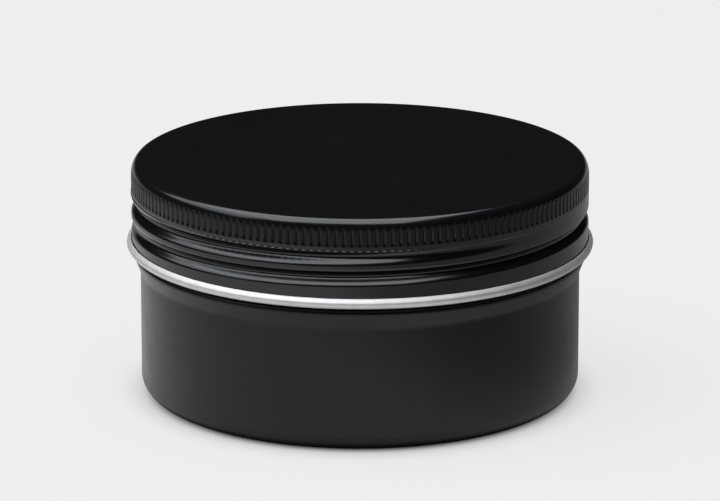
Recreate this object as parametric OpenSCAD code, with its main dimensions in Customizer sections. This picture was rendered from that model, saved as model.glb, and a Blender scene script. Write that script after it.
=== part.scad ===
// Shoe polish tin: a drawn aluminium cup of wax polish with a screw lid and a foam liner.
// Millimetres. The tin stands on z = 0 with its axis on Z, and its front faces -Y.

/* [Sheet metal] */
// Thickness of the aluminium sheet of tin and lid
sheet = 0.4; // [0.3:0.05:0.5]

/* [Tin body] */
// Outside diameter of the straight wall
body_d = 68.3; // [50:0.1:90]
// Height of the middle of the stop bead above the floor
stop_z = 21.6; // [14:0.1:40]
// Outside radius between the wall and the base
corner_r = 3; // [1.5:0.1:5]
// How far the base panel is set up from the floor
base_recess = 0.7; // [0.3:0.1:1.5]
// Width of the flat ring that the tin stands on
base_ring_w = 2; // [1:0.1:4]
// Width of the slope from the standing ring up to the base panel
base_slope_w = 1.2; // [0.8:0.1:3]
// Radius of the stop bead's round back
bead_r = 0.8; // [0.6:0.05:1.2]
// How far the stop bead stands out from the wall
bead_out = 0.9; // [0.5:0.05:1.3]
// Radius of the hollow between the wall and the stop bead
bead_blend_r = 1; // [0.6:0.1:2]

/* [Neck] */
// How far the neck sits in from the wall
neck_in = 0.2; // [0:0.05:0.5]
// Radius of the hollow between the stop bead and the neck
neck_root_r = 0.5; // [0.5:0.05:1]
// Outside radius of the roll at the mouth
mouth_roll_r = 0.8; // [0.6:0.05:1.2]

/* [Thread] */
// Rise of the single-start thread in one turn
thread_pitch = 3.175; // [2.8:0.025:4]
// Width of the rolled thread
thread_w = 2.4; // [2:0.1:2.8]
// Depth of the rolled thread
thread_depth = 0.85; // [0.6:0.05:1.1]
// Gap all round between the lid's thread and the neck's
thread_clear = 0.3; // [0.2:0.05:0.5]
// Turns of full depth on the lid
lid_turns = 1.125; // [0.75:0.125:2]
// Turns of full depth on the neck
neck_turns = 1; // [0.75:0.125:1.25]
// Angle over which a thread runs out at each end
thread_fade = 60; // [30:5:90]

/* [Lid] */
// Gap between the stop bead and the lid's lower edge
lid_gap = 0.75; // [0.3:0.05:1.5]
// Height of the rolled lower edge
curl_h = 1.76; // [1.4:0.02:2.4]
// How far the rolled edge stands out past the skirt
curl_out = 0.66; // [0.5:0.02:0.8]
// Open seam between the rolled edge and the skirt
curl_seam = 0.1; // [0.06:0.01:0.2]
// Plain skirt between the rolled edge and the thread
skirt_h = 0.8; // [0.5:0.1:4]
// Plain strip between the thread and the grip band
strip_h = 0.4; // [0.4:0.05:2]
// Height of the knurled grip band
knurl_h = 2.9; // [1.5:0.1:5]
// Number of grooves in the grip band
knurl_count = 184; // [90:2:200]
// Depth of the grip band's grooves
knurl_depth = 0.2; // [0.1:0.01:0.25]
// Distance from the lid's top to the grip band
knurl_drop = 1.4; // [1.35:0.05:3]
// Radius of the lid's top edge
edge_r = 1.1; // [0.8:0.05:1.3]

/* [Liner and polish] */
// Thickness of the foam liner
liner_t = 1.5; // [0.8:0.1:3]
// Gap above, below and around the liner
liner_play = 0.1; // [0.05:0.05:0.3]
// Depth from the mouth down to the polish
headspace = 6.4; // [5:0.1:15]
// Gap between the polish and the sheet
fill_gap = 0.05; // [0.02:0.01:0.1]

/* [Hidden] */
$fn = 180;
arc_steps = 10;
thread_columns = 60;
thread_rows = 16;
// The front, where the lid's thread leaves full depth at its upper end
front_a = -90;
// Overlap of a threaded band with the plain wall above and below it, and its setback inside that wall
band_lap = 0.25;
band_set_out = 0.02;
band_set_in = 0.08;
// Setback of the grip band's crests below the plain strip, and its bite into the wall behind it
knurl_set = 0.04;
knurl_bite = 0.03;
// Share of each knurl step that the flat crest, the groove's two flanks and its floor take
knurl_shares = [0.25, 0.15, 0.35, 0.25];

// Radii, from the body outwards
wall_r = body_d / 2;
neck_r = wall_r - neck_in;
lid_in_r = neck_r + thread_clear + thread_depth;
lid_r = lid_in_r + sheet;
liner_r = lid_in_r - max(edge_r - sheet, 0) - liner_play;

// Base
ring_r = wall_r - corner_r - base_ring_w;
panel_r = ring_r - base_slope_w;
slope_shift = tan(atan(base_recess / base_slope_w) / 2);

// Stop bead, its hollow below and the neck's root above
bead_c = wall_r + bead_out - bead_r;
blend_dr = wall_r + bead_blend_r - bead_c;
blend_dz = sqrt(pow(bead_r + bead_blend_r, 2) - pow(blend_dr, 2));
blend_a = atan2(blend_dz, -blend_dr);
root_dr = neck_r + neck_root_r - bead_c;
root_dz = sqrt(pow(bead_r + neck_root_r, 2) - pow(root_dr, 2));
root_a = atan2(root_dz, root_dr);
neck_z = stop_z + root_dz;

// Lid heights, stacked upwards from the stop bead
lid_z = stop_z + bead_r + lid_gap;
lid_band_lo = lid_z + curl_h + skirt_h;
lid_thread_lo = -360 * lid_turns;
lid_thread_z = lid_band_lo + thread_w / 2 + thread_pitch * (lid_turns + thread_fade / 360);
lid_band_hi = lid_thread_z + thread_w / 2;
knurl_z = lid_band_hi + strip_h;
lid_top = knurl_z + knurl_h + knurl_drop;
curl_r = curl_h / 2;
curl_c = [lid_r + curl_out - curl_r, lid_z + curl_r];

// Neck heights, hung downwards from the lid's top
mouth_z = lid_top - sheet - liner_t - 2 * liner_play;
mouth_c = [neck_r - mouth_roll_r, mouth_z - mouth_roll_r];
neck_band_hi = mouth_z - 2 * mouth_roll_r;
neck_thread_z = lid_thread_z + thread_pitch / 2;
neck_thread_hi = 360 * (neck_band_hi - thread_w / 2 - neck_thread_z) / thread_pitch - thread_fade;
neck_thread_lo = neck_thread_hi - 360 * neck_turns;
neck_band_lo = neck_thread_z + thread_pitch * (neck_thread_lo - thread_fade) / 360 - thread_w / 2;
fill_z = mouth_z - headspace;

// Points along a circle from one angle to another
function arc(c, r, from, to) =
    [for (i = [0:arc_steps]) let (a = from + (to - from) * i / arc_steps) c + r * [cos(a), sin(a)]];

function reversed(points) = [for (i = [len(points) - 1:-1:0]) points[i]];

// The cup's section from the base's centre to the neck, at depth t below its outer face
function cup_section(t) = concat(
    [[0, base_recess + t], [panel_r + t * slope_shift, base_recess + t], [ring_r + t * slope_shift, t]],
    arc([wall_r - corner_r, corner_r], corner_r - t, -90, 0),
    arc([wall_r + bead_blend_r, stop_z - blend_dz], bead_blend_r + t, 180, blend_a),
    arc([bead_c, stop_z], bead_r - t, blend_a - 180, root_a),
    arc([neck_r + neck_root_r, neck_z], neck_root_r + t, root_a + 180, 180)
);

// Height of the thread's round back, from 0 to 1, across its width
function thread_back(u) = abs(u) < 0.5 ? (1 + cos(360 * u)) / 2 : 0;

// Run-out of the thread, from 0 to 1, past the two ends of its full depth
function ease(x) = let (t = min(max(x, 0), 1)) t * t * (3 - 2 * t);
function run_out(a, lo, hi) = ease((a - lo) / thread_fade + 1) * ease((hi - a) / thread_fade + 1);

// Share of the thread's depth at angle a and height z, over all the turns that pass there
function thread_share(a, z, z0, lo, hi) =
    max([for (k = [-4:1]) let (t = a + 360 * k)
        run_out(t, lo, hi) * thread_back((z - z0 - thread_pitch * t / 360) / thread_w)]);

// A tube of sheet with a rolled thread: side is 1 where it stands out and -1 where it is pressed in
module thread_band(r_out, z_lo, z_hi, side, z0, lo, hi) {
    n = thread_columns;
    step = (z_hi - z_lo) / thread_rows;
    levels = concat(z_lo - band_lap, [for (i = [0:thread_rows]) z_lo + step * i], z_hi + band_lap);
    last = len(levels) - 1;
    faces_r = [r_out - band_set_out, r_out - sheet + band_set_in];
    points = [for (face_r = faces_r) for (z = levels) for (j = [0:n - 1])
        let (a = 360 * j / n, share = z > z_lo && z < z_hi ? thread_share(a, z, z0, lo, hi) : 0)
        let (r = face_r + side * thread_depth * share)
        [r * cos(a + front_a), r * sin(a + front_a), z]];
    outer = function (i, j) i * n + j % n;
    inner = function (i, j) (last + 1 + i) * n + j % n;
    quads = concat(
        [for (i = [0:last - 1]) for (j = [0:n - 1])
            [outer(i, j), outer(i + 1, j), outer(i + 1, j + 1), outer(i, j + 1)]],
        [for (i = [0:last - 1]) for (j = [0:n - 1])
            [inner(i, j + 1), inner(i + 1, j + 1), inner(i + 1, j), inner(i, j)]],
        [for (j = [0:n - 1]) [outer(0, j), outer(0, j + 1), inner(0, j + 1), inner(0, j)]],
        [for (j = [0:n - 1]) [inner(last, j), inner(last, j + 1), outer(last, j + 1), outer(last, j)]]
    );
    polyhedron(points, [for (q = quads) for (t = [[q[0], q[1], q[2]], [q[0], q[2], q[3]]]) t]);
}

// Base, wall, stop bead and the neck's foot in one revolved sheet
module cup() {
    neck_foot = [[neck_r, neck_band_lo], [neck_r - sheet, neck_band_lo]];
    rotate_extrude() polygon(concat(cup_section(0), neck_foot, reversed(cup_section(sheet))));
}

// The mouth: the sheet turns inwards and rolls down on itself
module mouth_roll() {
    stub = [[neck_r - sheet, neck_band_hi], [neck_r, neck_band_hi]];
    over = arc(mouth_c, mouth_roll_r, 0, 270);
    under = arc(mouth_c, mouth_roll_r - sheet, 270, 0);
    rotate_extrude() polygon(concat(stub, over, under));
}

module tin_body() {
    color([0.06, 0.06, 0.065]) union() {
        cup();
        thread_band(neck_r, neck_band_lo, neck_band_hi, 1, neck_thread_z, neck_thread_lo, neck_thread_hi);
        mouth_roll();
    }
}

// Wax cast into the cup, up to the fill level
module polish() {
    depth = sheet + fill_gap;
    inside = concat(cup_section(depth), [[neck_r - depth, mouth_z], [0, mouth_z]]);
    color([0.09, 0.075, 0.07]) rotate_extrude() intersection() {
        polygon(inside);
        square([lid_r, fill_z]);
    }
}

// Flat top, round top edge and the wall behind the grip band
module cap_top() {
    back_r = lid_r - knurl_set - knurl_depth - knurl_bite;
    in_edge_r = max(edge_r - sheet, 0);
    outside = concat([[0, lid_top]], reversed(arc([lid_r - edge_r, lid_top - edge_r], edge_r, 0, 90)));
    grip = [[lid_r, knurl_z + knurl_h], [back_r, knurl_z + knurl_h], [back_r, knurl_z], [lid_r, knurl_z]];
    end = [[lid_r, lid_band_hi], [lid_in_r, lid_band_hi]];
    inside = arc([lid_in_r - in_edge_r, lid_top - sheet - in_edge_r], in_edge_r, 0, 90);
    rotate_extrude() polygon(concat(outside, grip, end, inside, [[0, lid_top - sheet]]));
}

// Toothed ring of the grip band: crest, flank, floor and flank at every step
module grip_band() {
    step = 360 / knurl_count;
    crest_r = lid_r - knurl_set;
    floor_r = crest_r - knurl_depth;
    starts = [0, knurl_shares[0], knurl_shares[0] + knurl_shares[1], 1 - knurl_shares[3]];
    radii = [crest_r, crest_r, floor_r, floor_r];
    translate([0, 0, knurl_z]) linear_extrude(knurl_h) difference() {
        polygon([for (i = [0:knurl_count - 1]) for (k = [0:3])
            let (a = (i + starts[k]) * step) radii[k] * [cos(a), sin(a)]]);
        circle(floor_r - 2 * knurl_bite);
    }
}

// Plain skirt whose lower edge is rolled outwards and up, with an open seam at the top of the roll
module skirt_curl() {
    tip_r = lid_r + curl_seam;
    roll_in_r = curl_r - sheet;
    back = arc(curl_c, curl_r, -acos((lid_in_r - curl_c[0]) / curl_r), acos((tip_r - curl_c[0]) / curl_r));
    hollow = arc(curl_c, roll_in_r, acos((tip_r - curl_c[0]) / roll_in_r),
        -acos((lid_r - curl_c[0]) / roll_in_r));
    rotate_extrude() polygon(concat(back, hollow, [[lid_r, lid_band_lo], [lid_in_r, lid_band_lo]]));
}

module lid() {
    color([0.05, 0.05, 0.055]) union() {
        cap_top();
        grip_band();
        thread_band(lid_r, lid_band_lo, lid_band_hi, -1, lid_thread_z, lid_thread_lo, 0);
        skirt_curl();
    }
}

// Loose foam disc between the lid's top and the mouth
module lid_liner() {
    color([0.93, 0.93, 0.91]) translate([0, 0, mouth_z + liner_play]) cylinder(r = liner_r, h = liner_t);
}

tin_body();
polish();
lid();
lid_liner();
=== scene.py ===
"""Shoe polish tin: lacquered cup and screw lid, wax polish and foam disc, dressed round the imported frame."""
import math

import bpy
import numpy as np
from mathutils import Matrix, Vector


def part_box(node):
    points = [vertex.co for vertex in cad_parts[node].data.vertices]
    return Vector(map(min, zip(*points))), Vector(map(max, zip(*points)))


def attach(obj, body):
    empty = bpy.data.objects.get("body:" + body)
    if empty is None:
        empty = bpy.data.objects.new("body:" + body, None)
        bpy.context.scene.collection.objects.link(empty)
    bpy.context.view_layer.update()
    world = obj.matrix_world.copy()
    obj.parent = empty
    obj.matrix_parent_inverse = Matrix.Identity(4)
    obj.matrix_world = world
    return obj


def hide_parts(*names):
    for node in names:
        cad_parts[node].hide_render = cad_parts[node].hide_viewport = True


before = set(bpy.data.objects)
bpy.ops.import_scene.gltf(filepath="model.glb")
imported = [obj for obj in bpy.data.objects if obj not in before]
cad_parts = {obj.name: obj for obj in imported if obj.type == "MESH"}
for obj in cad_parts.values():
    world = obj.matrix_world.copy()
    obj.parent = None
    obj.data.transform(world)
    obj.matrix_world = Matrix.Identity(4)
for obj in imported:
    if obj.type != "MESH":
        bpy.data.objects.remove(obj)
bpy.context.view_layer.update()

# Lengths below are millimetres; meshes, lamps and the camera are in metres.
MM = 0.001

# Degrees of a full turn
TURN = 360.0

# Edges that bend by more degrees than this stay sharp
SHARP_BEND = 30.0


def box_mm(node):
    """Low and high corner of a node's solid, in millimetres."""
    return [np.array(corner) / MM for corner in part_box(node)]


# Sizes read from the frame
lid_low, lid_high = box_mm("lid")
cup_high = box_mm("tin_body")[1]
wax_high = box_mm("polish")[1]
disc_low, disc_high = box_mm("lid_liner")

# Sheet metal
sheet = 0.4

# Rows of the turned meshes: the innermost of a flat face, and the steps along flats, bends and threads
hub_r = 2.0
flat_step = 1.0
row_step = 0.1
thread_step = 0.18
crease = 0.03

# Lid
frame_curl = 0.66
curl_r = 0.82
curl_out = 0.74
curl_nose_r = 0.5
curl_slant = 36.0
curl_brow = 57.0
curl_seam = 0.1
edge_w = 1.3
edge_h = 2.1
lid_top = lid_high[2]
lid_foot = lid_low[2]
lid_r = lid_high[0] - frame_curl
lid_bore_r = lid_r - sheet
curl_c = (lid_r + curl_out - curl_r, lid_foot + curl_r)
skirt_top = lid_foot + 2.5
thread_top = lid_top - 4.1

# Thread, rolled into lid and neck alike
pitch = 3.175
thread_depth = 0.97
thread_w = 2.8
thread_sharpness = 1.1
thread_start = 70.0
thread_run_out = 110.0
run_out_power = 1.5
lid_thread_z = lid_top - 5.79
lid_thread_turns = 1.04
lid_thread_end = -32.0

# Grip band: its grooves widen and deepen downwards, and end in a short ramp over a row of lips
knurl_count = 184
knurl_depth = (0.13, 0.24)
knurl_half_w = (0.2, 0.34)
knurl_head = lid_top - 1.3
knurl_foot = lid_top - 4.2
knurl_ramp = 0.55
ramp_straight = 0.6
lip = 0.08
lip_z = lid_top - 4.77
lip_full = 0.5
lip_merge = -30.0
lip_end = 28.0
lip_fade = 22.0
shoulder_z = lid_top - 4.87
shoulder_h = 0.3

# Cup
corner_r = 3.0
bead_r = 0.8
bead_out = 0.9
bead_blend_r = 2.2
bead_flank = 22.0
neck_in = 0.2
neck_root_r = 0.5
mouth_r = 0.8
mouth_wrap = 268.0
base_recess = 0.7
base_ring = 2.0
base_slope = 1.2
stop_z = 22.05
mouth_z = cup_high[2]
wall_r = cup_high[0] - bead_out
neck_r = wall_r - neck_in
neck_band = (mouth_z - 8.3, mouth_z - 2 * mouth_r)
neck_thread_z = lid_thread_z + pitch / 2
neck_thread_turns = 1.0
neck_thread_end = -126.0

# Columns of the turned meshes: six to a knurl groove, then every third and every sixth of them
FINE = 6 * knurl_count
COARSE = FINE // 3
SPARSE = FINE // 6


# Turned surfaces

def arc(centre, radius, start, end, steps):
    """Points of a circle from one angle to another: centre + radius * (cos t, sin t), t in degrees."""
    t = np.radians(np.linspace(start, end, steps + 1))
    return np.column_stack([centre[0] + radius * np.cos(t), centre[1] + radius * np.sin(t)])


def oval(centre, half, start, end, steps):
    """Points of an ellipse between two angles: centre + (half[0] cos t, half[1] sin t), t in degrees."""
    t = np.radians(np.linspace(start, end, steps + 1))
    return np.column_stack([centre[0] + half[0] * np.cos(t), centre[1] + half[1] * np.sin(t)])


def line(start, end, steps):
    """Evenly spaced points of a straight stretch, both ends included."""
    return np.linspace(start, end, steps + 1)


def ease(x):
    """Smooth step from 0 to 1: 3 x^2 - 2 x^3, held level outside."""
    t = np.clip(x, 0.0, 1.0)
    return t * t * (3 - 2 * t)


def turn(profile, columns, sink=None, move=None):
    """A profile of (r, h) points carried round the axis: x = r sin a, y = -r cos a, z = h.

    The angle a is counted from the front. sink(a, h, r) is how far the surface lies inside radius r, and
    move(a, h) where the even columns go."""
    a = np.linspace(0, 2 * np.pi, columns, endpoint=False)[None, :]
    r = profile[:, :1]
    h = profile[:, 1:]
    if move is not None:
        a = move(a, h)
    if sink is not None:
        r = r - sink(a, h, r)
    x, y, z = np.broadcast_arrays(r * np.sin(a), -r * np.cos(a), h)
    return np.stack([x, y, z], axis=-1)


def pole(height):
    """A single point on the axis, where a turned surface closes."""
    return np.array([[[0.0, 0.0, height]]])


def ladder(upper, lower):
    """Quads between rows of like counts: each pair of neighbours above with the pair below."""
    quads = [upper, lower, np.roll(lower, -1, axis=-1), np.roll(upper, -1, axis=-1)]
    return np.stack(quads, axis=-1).reshape(-1, 4)


def fan(upper, lower):
    """Triangles between rows of unlike counts: every edge of a row meets the nearest point of the other."""
    dense_above = len(upper) > len(lower)
    dense, sparse = (upper, lower) if dense_above else (lower, upper)
    ratio = len(dense) // len(sparse)
    apex = sparse[(np.arange(len(dense)) + ratio // 2) // ratio % len(sparse)]
    after = np.roll(dense, -1)
    over_dense = [dense, apex, after] if dense_above else [apex, dense, after]
    triangles = [np.stack(over_dense, axis=-1)]
    if len(sparse) > 1:
        middle = dense[(ratio + 1) // 2::ratio]
        beyond = np.roll(sparse, -1)
        over_sparse = [middle, sparse, beyond] if dense_above else [sparse, middle, beyond]
        triangles.append(np.stack(over_sparse, axis=-1))
    return np.concatenate(triangles)


def skin(name, sections, finishes):
    """A closed mesh of turned sections, from pole to pole, the outside running downwards.

    Each section is (grid of points, number of its finish), and joins the one before it row to row."""
    quads = []
    triangles = []
    quad_finish = []
    triangle_finish = []
    first = 0
    last_row = None
    for grid, finish in sections:
        rows, columns = grid.shape[:2]
        index = first + np.arange(rows * columns).reshape(rows, columns)
        first += rows * columns
        if last_row is not None and len(last_row) == columns:
            quads.append(ladder(last_row, index[0]))
            quad_finish.append(np.full(columns, finish))
        elif last_row is not None:
            triangles.append(fan(last_row, index[0]))
            triangle_finish.append(np.full(len(triangles[-1]), finish))
        if rows > 1:
            quads.append(ladder(index[:-1], index[1:]))
            quad_finish.append(np.full(len(quads[-1]), finish))
        last_row = index[-1]
    quads = np.concatenate(quads)
    triangles = np.concatenate(triangles)
    points = np.concatenate([grid.reshape(-1, 3) for grid, _ in sections]) * MM
    corners = np.concatenate([quads.ravel(), triangles.ravel()])
    starts = np.concatenate([4 * np.arange(len(quads)), quads.size + 3 * np.arange(len(triangles))])
    mesh = bpy.data.meshes.new(name)
    mesh.vertices.add(len(points))
    mesh.vertices.foreach_set("co", points.astype(np.float32).ravel())
    mesh.loops.add(len(corners))
    mesh.loops.foreach_set("vertex_index", corners.astype(np.int32))
    mesh.polygons.add(len(starts))
    mesh.polygons.foreach_set("loop_start", starts.astype(np.int32))
    finish_of_face = np.concatenate(quad_finish + triangle_finish)
    for finish in finishes:
        mesh.materials.append(finish)
    mesh.polygons.foreach_set("material_index", finish_of_face.astype(np.int32))
    mesh.update(calc_edges=True)
    mesh.validate()
    mesh.shade_smooth()
    mesh.set_sharp_from_angle(angle=math.radians(SHARP_BEND))
    piece = bpy.data.objects.new(name, mesh)
    bpy.context.scene.collection.objects.link(piece)
    return piece


# Thread and knurl

def thread_share(a, h, z0, lo, hi):
    """Share of the thread's depth at angle a and height h, from 0 to 1, over every turn that passes there.

    A turn's middle climbs one pitch a turn through z0 at the front. Across it the share is a power of
    cos(pi * off / width), off being the height from the middle. Below the angle lo it begins along a
    smooth step, and past hi it runs out along a power of one."""
    share = 0.0
    for whole in (-2, -1, 0, 1):
        t = np.degrees(a) + TURN * whole
        off = np.abs(h - z0 - pitch * t / TURN)
        across = np.cos(np.pi * np.minimum(off / thread_w, 0.5)) ** (2 * thread_sharpness)
        along = ease((t - lo) / thread_start + 1) * ease((hi - t) / thread_run_out + 1) ** run_out_power
        share = np.maximum(share, across * along)
    return share


def lid_thread(a, h, r):
    """Depth of the lid's thread, pressed in from the outside."""
    start = lid_thread_end - TURN * lid_thread_turns
    return thread_depth * thread_share(a, h, lid_thread_z, start, lid_thread_end)


def neck_thread(a, h, r):
    """Depth of the neck's thread, which stands out from the neck, as a negative sink."""
    start = neck_thread_end - TURN * neck_thread_turns
    return -thread_depth * thread_share(a, h, neck_thread_z, start, neck_thread_end)


def from_groove(a):
    """Signed angle from the middle of the nearest knurl groove."""
    step = 2 * np.pi / knurl_count
    return (a + step / 2) % step - step / 2


def along_knurl(h, ends):
    """Value at height h that goes evenly from one end at the knurl's head to the other at its foot."""
    return np.interp((knurl_head - h) / (knurl_head - knurl_foot), (0, 1), ends)


def to_grooves(a, h):
    """Even columns moved to the knurl: of every six, one lies in a groove's middle, two on its edges, two
    half-way to them, and one in the middle of the rib."""
    sixth = np.pi / 3 / knurl_count
    half_w = along_knurl(h, knurl_half_w) / lid_r
    way = from_groove(a)
    inner = np.minimum(np.abs(way), 2 * sixth)
    outer = np.abs(way) - inner
    moved = inner / (2 * sixth) * half_w + outer / sixth * (3 * sixth - half_w)
    return a - way + np.sign(way) * moved


def grip(a, h, r):
    """Depth of the lid's outside below its plain profile in the grip band and the strip under it.

    Round the lid each groove is a plain V. Its floor starts on the top edge's round, deepens on its way
    down and ends in a ramp that is part straight, part smooth step. Below each groove the strip leans out to
    a short lip, full over the middle half of the groove and gone at the middle of the rib. To the left of
    the angle lip_merge the lips merge into one, and they fade out before lip_end and at the back. Under
    them the thread's first turn starts at a crisp shoulder."""
    half_w = along_knurl(h, knurl_half_w)
    off = lid_r * np.abs(from_groove(a)) / half_w
    floor_r = lid_r - along_knurl(h, knurl_depth)
    groove = np.clip(1 - off, 0, 1)
    up = (h - knurl_foot) / knurl_ramp
    ramp = ramp_straight * np.clip(up, 0, 1) + (1 - ramp_straight) * ease(up)
    cut = np.clip(r - floor_r, 0, None) * ramp
    rib = np.pi * lid_r / knurl_count / half_w
    full = ease((rib - off) / (rib - lip_full))
    t = np.degrees((a + np.pi) % (2 * np.pi) - np.pi)
    merged = np.maximum(full, ease((lip_merge - t) / lip_fade))
    there = ease((lip_end - t) / lip_fade) * ease((t + TURN / 2) / lip_fade)
    lean = np.clip(lip_z - h, 0, lip) * merged * there
    shoulder = ease((shoulder_z - h) / shoulder_h)
    return cut * groove - lean * (1 - shoulder) + lid_thread(a, h, r) * shoulder


# Pieces

def lid_shell(lacquer, grip_lacquer, metal):
    """The lid's sheet: flat top, round edge, grip band, thread and skirt outside, then the rolled lower
    edge with its raw end, and the bare inside with the thread's ridge."""
    edge_c = (lid_r - edge_w, lid_top - edge_h)
    ramp_top = knurl_foot + knurl_ramp
    wall_top = shoulder_z - shoulder_h
    wall_step = 0.07
    crown = np.vstack([
        line((hub_r, lid_top), (edge_c[0], lid_top), 5),
        oval(edge_c, (edge_w, edge_h), 86, 26, 13),
    ])
    band = np.vstack([
        oval(edge_c, (edge_w, edge_h), 22, 0, 3),
        line((lid_r, edge_c[1] - 3 * row_step), (lid_r, ramp_top + 2 * row_step), 2),
        line((lid_r, ramp_top + row_step), (lid_r, knurl_foot), 7),
    ])
    strip = np.vstack([
        line((lid_r, knurl_foot - lip), (lid_r, lip_z + crease), 1),
        line((lid_r, lip_z), (lid_r, lip_z - lip), 1),
        line((lid_r, shoulder_z), (lid_r, shoulder_z - shoulder_h / 6), 1),
        line((lid_r, shoulder_z - shoulder_h / 3), (lid_r, wall_top), 4),
    ])
    wall = line((lid_r, wall_top - wall_step), (lid_r, skirt_top), 80)
    hollow_r = curl_r - sheet
    tip_r = lid_r + curl_seam
    hollow_lo = math.degrees(math.acos((lid_r - curl_c[0]) / hollow_r))
    hollow_hi = math.degrees(math.acos((tip_r - curl_c[0]) / hollow_r))
    skirt = np.vstack([
        line((lid_r, skirt_top - row_step), (lid_r, curl_c[1] + curl_r), 2),
        line((lid_r, curl_c[1] + 5 * row_step), (lid_r, curl_c[1]), 2),
        arc(curl_c, hollow_r, -hollow_lo, hollow_hi, 6),
    ])
    nose = arc((lid_r + curl_out - curl_nose_r, curl_c[1]), curl_nose_r, curl_slant, 0, 6)
    slant, brow = math.radians(curl_slant), math.radians(curl_brow)
    face_r = (nose[0, 0] - tip_r - crease) / (math.cos(slant) - math.cos(brow))
    face_c = (nose[0, 0] - face_r * math.cos(slant), nose[0, 1] - face_r * math.sin(slant))
    face = arc(face_c, face_r, curl_brow, curl_slant, 6)
    bore = math.degrees(math.acos((lid_bore_r - curl_c[0]) / curl_r))
    curl = np.vstack([
        line((tip_r, curl_c[1] + hollow_r), (tip_r, face[0, 1] - crease), 3),
        face,
        nose[1:],
        arc(curl_c, curl_r, 0, -bore, 16)[1:],
    ])
    inside = np.vstack([
        line((lid_bore_r, curl_c[1]), (lid_bore_r, skirt_top), 3),
        line((lid_bore_r, skirt_top + thread_step), (lid_bore_r, thread_top + 4 * row_step), 34),
        oval(edge_c, (edge_w - sheet, edge_h - sheet), 0, 90, 8),
        line((edge_c[0] - flat_step, lid_top - sheet), (hub_r, lid_top - sheet), 4),
    ])
    return skin("lid_shell", [
        (pole(lid_top), 0),
        (turn(crown, COARSE), 0),
        (turn(band, FINE, grip, to_grooves), 2),
        (turn(strip, FINE, grip, to_grooves), 0),
        (turn(wall, COARSE, lid_thread), 0),
        (turn(skirt, COARSE), 0),
        (turn(curl, COARSE), 1),
        (turn(inside, SPARSE, lid_thread), 1),
        (pole(lid_top - sheet), 1),
    ], [lacquer, metal, grip_lacquer])


def cup_outline(depth, steps):
    """Half section of the cup from the bead's root down to the base, at a depth inside its outer face.

    Circles for the neck's root, the stop bead, the hollow under it and the base corner are joined by the
    bead's straight flank and the straight wall. The flank is as wide as the bead stands out, less what the
    two rounds take: (bead_r + bead_blend_r) * (1 - cos slope). The standing ring then steps up to the base
    panel along a smooth curve."""
    bead_c = wall_r + bead_out - bead_r
    root_dr = neck_r + neck_root_r - bead_c
    root_dz = math.sqrt((bead_r + neck_root_r) ** 2 - root_dr ** 2)
    root = math.degrees(math.atan2(root_dz, root_dr))
    slope = math.radians(bead_flank)
    rounds = bead_r + bead_blend_r
    flank_w = bead_out - rounds * (1 - math.cos(slope))
    blend_dz = rounds * math.sin(slope) + flank_w / math.tan(slope)
    hollow_c = (wall_r + bead_blend_r, stop_z - blend_dz)
    corner_c = (wall_r - corner_r, corner_r)
    wall_hi = hollow_c[1] - 4 * row_step
    wall_lo = corner_r + 4 * row_step
    ring_r = wall_r - corner_r - base_ring
    panel_r = ring_r - base_slope
    s = np.linspace(0, 1, steps + 1)
    step_up = np.column_stack([ring_r - base_slope * s, base_recess * ease(s) + depth])
    return np.vstack([
        arc((neck_r + neck_root_r, stop_z + root_dz), neck_root_r + depth, 180, root + 180, steps),
        arc((bead_c, stop_z), bead_r - depth, root, -bead_flank, 2 * steps)[1:],
        arc(hollow_c, bead_blend_r + depth, 180 - bead_flank, 180, steps)[1:],
        line((wall_r - depth, wall_hi), (wall_r - depth, wall_lo), 3 * steps),
        arc(corner_c, corner_r - depth, 0, -90, 2 * steps),
        step_up,
        line((panel_r - flat_step, base_recess + depth), (hub_r, base_recess + depth), 6),
    ])


def cup_shell(lacquer, metal):
    """The tin's sheet: the bare inside from the floor up to the mouth, the mouth rolled inwards, then
    the lacquered outside down over the thread, the stop bead, the wall and the base."""
    mouth_c = (neck_r - mouth_r, mouth_z - mouth_r)
    inner = cup_outline(sheet, 4)[::-1]
    outer = cup_outline(0.0, 8)
    neck_in_r = neck_r - sheet
    low, high = neck_band
    inner_neck = np.vstack([
        line((neck_in_r, inner[-1, 1] + 4 * row_step), (neck_in_r, low), 3),
        line((neck_in_r, low + thread_step), (neck_in_r, high), 36),
        arc(mouth_c, mouth_r - sheet, 0, mouth_wrap, 12),
    ])
    roll = arc(mouth_c, mouth_r, mouth_wrap, 0, 24)
    outer_neck = np.vstack([
        line((neck_r, high), (neck_r, low), 70),
        line((neck_r, low - 3 * row_step), (neck_r, outer[0, 1] + 4 * row_step), 3),
    ])
    return skin("cup_shell", [
        (pole(base_recess + sheet), 1),
        (turn(inner, SPARSE), 1),
        (turn(inner_neck, SPARSE, neck_thread), 1),
        (turn(roll, COARSE), 0),
        (turn(outer_neck, COARSE, neck_thread), 0),
        (turn(outer, COARSE), 0),
        (pole(base_recess), 0),
    ], [lacquer, metal])


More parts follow.
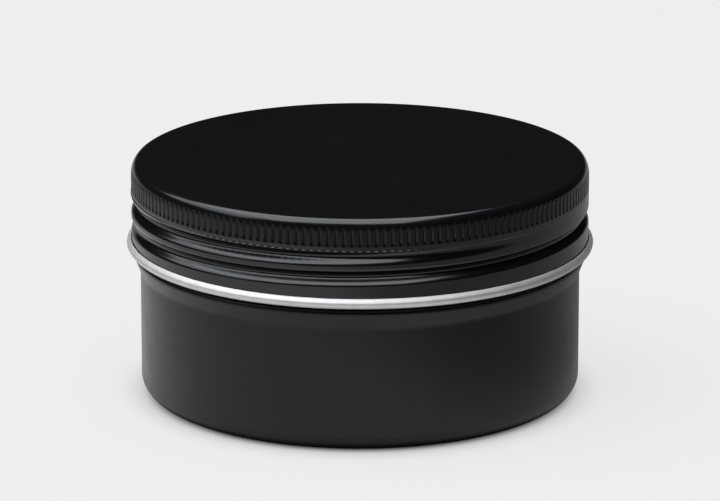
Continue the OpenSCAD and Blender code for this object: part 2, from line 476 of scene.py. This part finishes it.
def polish_cake(wax):
    """Wax cast into the cup: a shallow dish with a raised rim where it wetted the wall, faint cooling
    ripples on top, and below the surface the inside of the cup."""
    gap = 0.05
    wet_h = 0.45
    wet_fade = 0.6
    wet_w = 2.4
    dish = 0.22
    ripple = 0.018
    ripple_count = 5.5
    ripple_crowding = 1.4
    inner_r = 0.6
    fill_z = wax_high[2]
    rim_r = neck_r - sheet - gap

    def surface(r):
        """Height of the top at radius r, where share is r / rim_r.

        A dish of depth dish * (1 - share^2), ripples that crowd and die towards the rim as a cosine of a
        power of share, times (1 - share), and a wetted rim, wet_h * exp((r - rim_r) / wet_fade) high."""
        share = r / rim_r
        waves = ripple * np.cos(2 * np.pi * ripple_count * share ** ripple_crowding) * (1 - share)
        wet = wet_h * np.exp((r - rim_r) / wet_fade)
        return fill_z - wet_h - dish * (1 - share ** 2) + waves + wet

    r = np.concatenate([
        np.linspace(inner_r, rim_r - wet_w, 44),
        np.linspace(rim_r - wet_w + 2 * row_step, rim_r - 4 * crease, 16),
    ])
    top = np.column_stack([r, surface(r)])
    rim = np.array([[rim_r - crease, fill_z - crease], [rim_r, fill_z - 5 * crease]])
    side = line((rim_r, fill_z - 5 * row_step), (rim_r, stop_z + 2 * flat_step), 4)
    under = cup_outline(sheet + gap, 6)
    return skin("polish_cake", [
        (pole(surface(np.zeros(1))[0]), 0),
        (turn(np.vstack([top, rim]), SPARSE), 0),
        (turn(np.vstack([side, under]), SPARSE), 0),
        (pole(base_recess + sheet + gap), 0),
    ], [wax])


def foam_disc(foam):
    """Punched foam disc: flat top, edge drawn in by the punch along a parabola, and a shallow ring underneath
    where the mouth of the tin has pressed into it: print_depth * exp(-((r - print_r) / print_w)^2)."""
    top = disc_high[2]
    under = disc_low[2]
    rim_r = disc_high[0]
    middle = (top + under) / 2
    thick = top - under
    round_r = 0.3
    waist = 0.1
    inner_r = 0.8
    print_depth = 0.06
    print_w = 0.7
    print_zone = 4.0
    print_r = neck_r - mouth_r
    s = np.linspace(-1, 1, 7)
    side = np.column_stack([rim_r - waist * (1 - s ** 2), middle - s * (thick / 2 - round_r)])
    r = np.concatenate([
        np.linspace(rim_r - round_r - row_step / 2, rim_r - print_zone, 30),
        np.linspace(rim_r - print_zone - flat_step, inner_r, 20),
    ])
    dent = print_depth * np.exp(-((r - print_r) / print_w) ** 2)
    return skin("foam_disc", [
        (pole(top), 0),
        (turn(line((inner_r, top), (rim_r - 2 * round_r, top), 24), SPARSE), 0),
        (turn(arc((rim_r - round_r, top - round_r), round_r, 90, 0, 5), SPARSE), 0),
        (turn(side[1:-1], SPARSE), 0),
        (turn(arc((rim_r - round_r, under + round_r), round_r, 0, -90, 5), SPARSE), 0),
        (turn(np.column_stack([r, under + dent]), SPARSE), 0),
        (pole(under), 0),
    ], [foam])


# Finishes

# Part of 0 to 1 in which most of a noise lies
NOISE_LOW = 0.3
NOISE_HIGH = 0.7

LACQUER_DARK = (0.0048, 0.0048, 0.0052)
LACQUER_LIGHT = (0.0062, 0.0062, 0.0067)


def feed(tree, made, inputs):
    """Inputs of a shader node set to values or linked to sockets."""
    for name, value in inputs.items():
        if isinstance(value, bpy.types.NodeSocket):
            tree.links.new(value, made.inputs[name])
        else:
            made.inputs[name].default_value = value


def place(tree, kind, inputs, **settings):
    """A new shader node of that kind with its settings and inputs."""
    made = tree.nodes.new("ShaderNode" + kind)
    for name, value in settings.items():
        setattr(made, name, value)
    feed(tree, made, inputs)
    return made


def blank_finish(name):
    """A new material, its node tree, its surface shader and the piece's own coordinates."""
    finish = bpy.data.materials.new(name)
    finish.use_nodes = True
    tree = finish.node_tree
    shader = next(n for n in tree.nodes if n.type == "BSDF_PRINCIPLED")
    here = place(tree, "TexCoord", {}).outputs["Object"]
    return finish, tree, shader, here


def noise(tree, where, scale, detail=3.0):
    """Value of a fractal noise, its scale in patches a metre."""
    made = place(tree, "TexNoise", {"Vector": where, "Scale": scale, "Detail": detail})
    return made.outputs["Fac"]


def spread(tree, value, low, high, start=NOISE_LOW, end=NOISE_HIGH):
    """The value from start to end spread over low to high."""
    made = place(tree, "MapRange", {
        "Value": value, "From Min": start, "From Max": end, "To Min": low, "To Max": high,
    })
    return made.outputs["Result"]


def shades(tree, value, dark, light):
    """A colour between two shades."""
    made = place(tree, "ValToRGB", {"Fac": value})
    made.color_ramp.elements[0].position = NOISE_LOW
    made.color_ramp.elements[1].position = NOISE_HIGH
    made.color_ramp.elements[0].color = (*dark, 1)
    made.color_ramp.elements[1].color = (*light, 1)
    return made.outputs["Color"]


def relief(tree, height, depth, under=None):
    """A bump of that depth in metres, on top of another where one is given."""
    inputs = {"Height": height, "Strength": 1.0, "Distance": depth}
    if under is not None:
        inputs["Normal"] = under
    return place(tree, "Bump", inputs).outputs["Normal"]


def satin_lacquer(name, smooth, rough, gloss):
    """Baked satin lacquer: fine orange peel, slow changes of gloss and a slightly uneven black."""
    finish, tree, shader, here = blank_finish(name)
    patches = noise(tree, here, scale=90.0)
    peel = noise(tree, here, scale=3200.0, detail=2.0)
    feed(tree, shader, {
        "Base Color": shades(tree, patches, LACQUER_DARK, LACQUER_LIGHT),
        "Roughness": spread(tree, noise(tree, here, scale=240.0), smooth, rough),
        "Normal": relief(tree, peel, depth=0.0000025),
        "Specular IOR Level": gloss,
    })
    return finish


def bare_aluminium(name, smooth, rough):
    """Drawn aluminium: fine lines round the axis from a noise of radius and height, and soft patches."""
    finish, tree, shader, here = blank_finish(name)
    parts = place(tree, "SeparateXYZ", {"Vector": here})
    flat = place(tree, "CombineXYZ", {"X": parts.outputs["X"], "Y": parts.outputs["Y"]})
    radius = place(tree, "VectorMath", {0: flat.outputs["Vector"]}, operation="LENGTH")
    ring = place(tree, "CombineXYZ", {"X": radius.outputs["Value"], "Z": parts.outputs["Z"]})
    lines = noise(tree, ring.outputs["Vector"], scale=5200.0)
    patches = noise(tree, here, scale=420.0)
    feed(tree, shader, {
        "Base Color": shades(tree, patches, dark=(0.715, 0.705, 0.69), light=(0.805, 0.79, 0.77)),
        "Roughness": spread(tree, lines, smooth, rough),
        "Normal": relief(tree, lines, depth=0.0000015),
        "Metallic": 1.0,
    })
    return finish


def cast_wax(name):
    """Black paste wax: a soft gloss that dulls in patches, fine grain and a few shallow pits."""
    finish, tree, shader, here = blank_finish(name)
    patches = noise(tree, here, scale=130.0, detail=5.0)
    grain = noise(tree, here, scale=2600.0, detail=4.0)
    cells = place(tree, "TexVoronoi", {"Vector": here, "Scale": 230.0}, feature="F1")
    pits = spread(tree, cells.outputs["Distance"], low=0.0, high=1.0, start=0.02, end=0.16)
    feed(tree, shader, {
        "Base Color": shades(tree, patches, dark=(0.007, 0.0065, 0.0065), light=(0.013, 0.012, 0.0115)),
        "Roughness": spread(tree, patches, low=0.28, high=0.46),
        "Normal": relief(tree, pits, depth=0.00004, under=relief(tree, grain, depth=0.000006)),
    })
    return finish


def liner_foam(name):
    """White closed-cell foam: a skin of small round cells, matt, slightly darker between them."""
    finish, tree, shader, here = blank_finish(name)
    cells = place(tree, "TexVoronoi", {"Vector": here, "Scale": 1900.0}, feature="SMOOTH_F1")
    away = cells.outputs["Distance"]
    dome = spread(tree, away, low=1.0, high=0.0, start=0.1, end=0.8)
    feed(tree, shader, {
        # Painted shade: the colour darkens from each cell's middle into the hollows between cells, where the
        # bump is lowest.
        "Base Color": shades(tree, away, (0.87, 0.87, 0.855), (0.77, 0.77, 0.75)),
        "Roughness": spread(tree, noise(tree, here, scale=700.0), low=0.72, high=0.9),
        "Normal": relief(tree, dome, depth=0.00006),
    })
    return finish


lid_lacquer = satin_lacquer("lid_satin_black", smooth=0.16, rough=0.2, gloss=0.58)
grip_lacquer = satin_lacquer("grip_satin_black", smooth=0.2, rough=0.26, gloss=0.33)
body_lacquer = satin_lacquer("body_satin_black", smooth=0.29, rough=0.35, gloss=0.37)
rolled_metal = bare_aluminium("bare_rolled_edge", smooth=0.58, rough=0.68)
drawn_metal = bare_aluminium("bare_drawn_inside", smooth=0.26, rough=0.42)

lid = lid_shell(lid_lacquer, grip_lacquer, rolled_metal)
cup = cup_shell(body_lacquer, drawn_metal)
cake = polish_cake(cast_wax("cast_wax"))
liner = foam_disc(liner_foam("white_foam"))

for piece, body, node, slot in [
    (lid, "lid", "lid", "lid_lacquer"),
    (cup, "tin", "tin_body", "body_lacquer"),
    (cake, "tin", "polish", "wax_polish"),
    (liner, "liner", "lid_liner", "liner_foam"),
]:
    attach(piece, body)
    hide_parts(node)


# Studio

LAMP_TINT = (0.97, 0.99, 1.04)
ROOM_TONE = (0.008, 0.008, 0.008)


def reckon(tree, operation, *values, clamp=False):
    """Result of one sum on values or sockets, held to 0 to 1 where clamp is set."""
    made = place(tree, "Math", dict(enumerate(values)), operation=operation, use_clamp=clamp)
    return made.outputs[0]


def open_share(tree, reach):
    """Share of the sky that nothing hides within reach."""
    return place(tree, "AmbientOcclusion", {"Distance": reach}, samples=8).outputs["AO"]


def pale_floor(half, lit, glow, reach, mirror_reach, pool, pool_half, far):
    """A flat square of pale card, corners at plus and minus half on X and Y.

    Part of its tone is lit by the lamps. The rest is a glow that the camera and mirrors see, and it carries
    painted light and shade. For the camera it is dimmed by the square of the share of sky hidden within reach:
    a painted contact shadow, so that the object keeps its shadow. In mirrors it carries painted shade near the
    object and a painted pool of light round it, as follows.
    For mirrors it is the share of sky open within reach, times the square of the share open within
    mirror_reach, times a tone that is 1 in an oval pool and sinks past its rim along a smooth step to the
    far share."""
    rim_start = 0.85
    rim_end = 1.25
    mesh = bpy.data.meshes.new("floor")
    square = half * np.array([[-1, -1, 0], [1, -1, 0], [1, 1, 0], [-1, 1, 0]])
    mesh.from_pydata(square.tolist(), [], [(0, 1, 2, 3)])
    finish = bpy.data.materials.new("pale_card")
    finish.use_nodes = True
    tree = finish.node_tree
    tree.nodes.clear()
    here = place(tree, "TexCoord", {}).outputs["Object"]
    from_pool = place(tree, "VectorMath", {
        0: here,
        1: (1 / pool_half[0], 1 / pool_half[1], 0),
        2: (-pool[0] / pool_half[0], -pool[1] / pool_half[1], 0),
    }, operation="MULTIPLY_ADD")
    way = place(tree, "VectorMath", {0: from_pool.outputs["Vector"]}, operation="LENGTH")
    # Painted pool of light: in mirrors the floor is brightest in an oval pool round the object and darker past
    # its rim.
    tone = place(tree, "MapRange", {
        "Value": way.outputs["Value"],
        "From Min": rim_start,
        "From Max": rim_end,
        "To Min": 1.0,
        "To Max": far,
    }, interpolation_type="SMOOTHSTEP").outputs["Result"]
    # Painted contact shadow: for the camera the glow darkens where nearby geometry hides the sky.
    sky = open_share(tree, reach)
    hidden = reckon(tree, "SUBTRACT", 1.0, sky)
    painted_shadow_share = reckon(tree, "SUBTRACT", 1.0, reckon(tree, "MULTIPLY", hidden, hidden))
    # Painted shade in mirrors: the reflected glow darkens close to the object, times the painted pool of
    # light.
    under = reckon(tree, "POWER", open_share(tree, mirror_reach), 2.0)
    painted_mirror_light_and_shade = reckon(tree, "MULTIPLY", reckon(tree, "MULTIPLY", sky, under), tone)
    ray = place(tree, "LightPath", {}).outputs
    mirror = reckon(tree, "ADD", ray["Is Glossy Ray"], ray["Is Transmission Ray"])
    mirrored = reckon(tree, "MULTIPLY", mirror, painted_mirror_light_and_shade)
    share = reckon(tree, "MULTIPLY_ADD", ray["Is Camera Ray"], painted_shadow_share, mirrored, clamp=True)
    shine = place(tree, "Emission", {"Color": (*glow, 1), "Strength": share})
    card = place(tree, "BsdfDiffuse", {"Color": (*lit, 1)})
    both = place(tree, "AddShader", {0: card.outputs[0], 1: shine.outputs[0]})
    place(tree, "OutputMaterial", {"Surface": both.outputs[0]})
    mesh.materials.append(finish)
    floor = bpy.data.objects.new("floor", mesh)
    bpy.context.scene.collection.objects.link(floor)


def soft_light(name, size, place_at, aim, radiance):
    """A rectangular diffuser that faces aim; its power is radiance times pi times its area."""
    lamp = bpy.data.lights.new(name, "AREA")
    lamp.shape = "RECTANGLE"
    lamp.size, lamp.size_y = size
    lamp.energy = radiance * math.pi * size[0] * size[1]
    lamp.color = LAMP_TINT
    light = bpy.data.objects.new(name, lamp)
    bpy.context.scene.collection.objects.link(light)
    towards = np.array(aim) - np.array(place_at)
    flat = math.hypot(towards[0], towards[1])
    light.location = place_at
    light.rotation_euler = (math.atan2(flat, -towards[2]), 0, math.atan2(-towards[0], towards[1]))
    light.visible_camera = False


# The floor's glow carries a painted contact shadow, and in mirrors painted shade and a painted pool of light
# centred on pool.
pale_floor(
    half=3.0,
    lit=(0.11, 0.11, 0.11),
    glow=(0.725, 0.725, 0.725),
    reach=0.006,
    mirror_reach=0.0013,
    pool=(-0.07, -0.035),
    pool_half=(0.105, 0.105),
    far=0.28,
)
soft_light("overhead", size=(2.6, 2.7), place_at=(-0.5, -0.35, 1.8), aim=(-0.5, -0.349, 0.0), radiance=3.1)
soft_light("left_bank", size=(2.1, 0.6), place_at=(-1.6, 0.06, 1.2), aim=(0, 0, 0.02), radiance=1.8)

world = bpy.data.worlds.new("room")
world.use_nodes = True
world.node_tree.nodes["Background"].inputs["Color"].default_value = (*ROOM_TONE, 1)
bpy.context.scene.world = world

# Camera, its focal length in pixels of a picture that many pixels wide
PHOTO_W = 720
FOCAL_PX = 5371.7
SENSOR = 36.0
CAMERA_PLACE = (0, -0.8037, 0.2535)
CAMERA_DOWN = 16.0645
camera_data = bpy.data.cameras.new("camera")
camera_data.sensor_width = SENSOR
camera_data.lens = FOCAL_PX / PHOTO_W * SENSOR
camera = bpy.data.objects.new("camera", camera_data)
camera.location = CAMERA_PLACE
camera.rotation_euler = (math.radians(90 - CAMERA_DOWN), 0, 0)
bpy.context.scene.collection.objects.link(camera)
bpy.context.scene.camera = camera
bpy.context.scene.view_settings.view_transform = "Standard"
